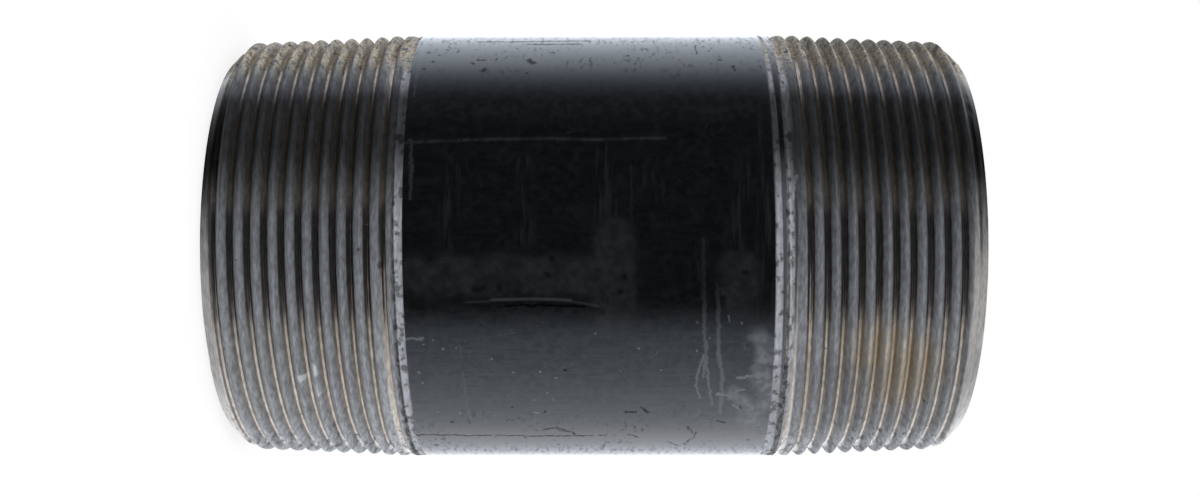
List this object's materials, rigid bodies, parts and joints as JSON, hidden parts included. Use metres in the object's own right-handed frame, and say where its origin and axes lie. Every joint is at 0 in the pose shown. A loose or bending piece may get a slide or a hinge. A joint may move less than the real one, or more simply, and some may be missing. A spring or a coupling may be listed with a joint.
{
  "type": "pipe nipple",
  "caption": "Short straight length of black lacquered steel pipe with a tapered male thread cut on both ends, for joining two female-threaded fittings.",
  "frame": {"origin": "centre of the lower end face, on the pipe's axis", "axes": "+Z along the pipe's axis, from the lower end to the upper end; the nipple stands on its lower end"},
  "size_m": [0.0608, 0.0608, 0.1016],
  "materials": {
    "black_steel": "glossy black lacquer over steel pipe, worn and scuffed, with bare cut steel on the threads, oily and lightly rusted"
  },
  "bodies": {
    "root": {"pipe_nipple": "black_steel"}
  },
  "joints": []
}
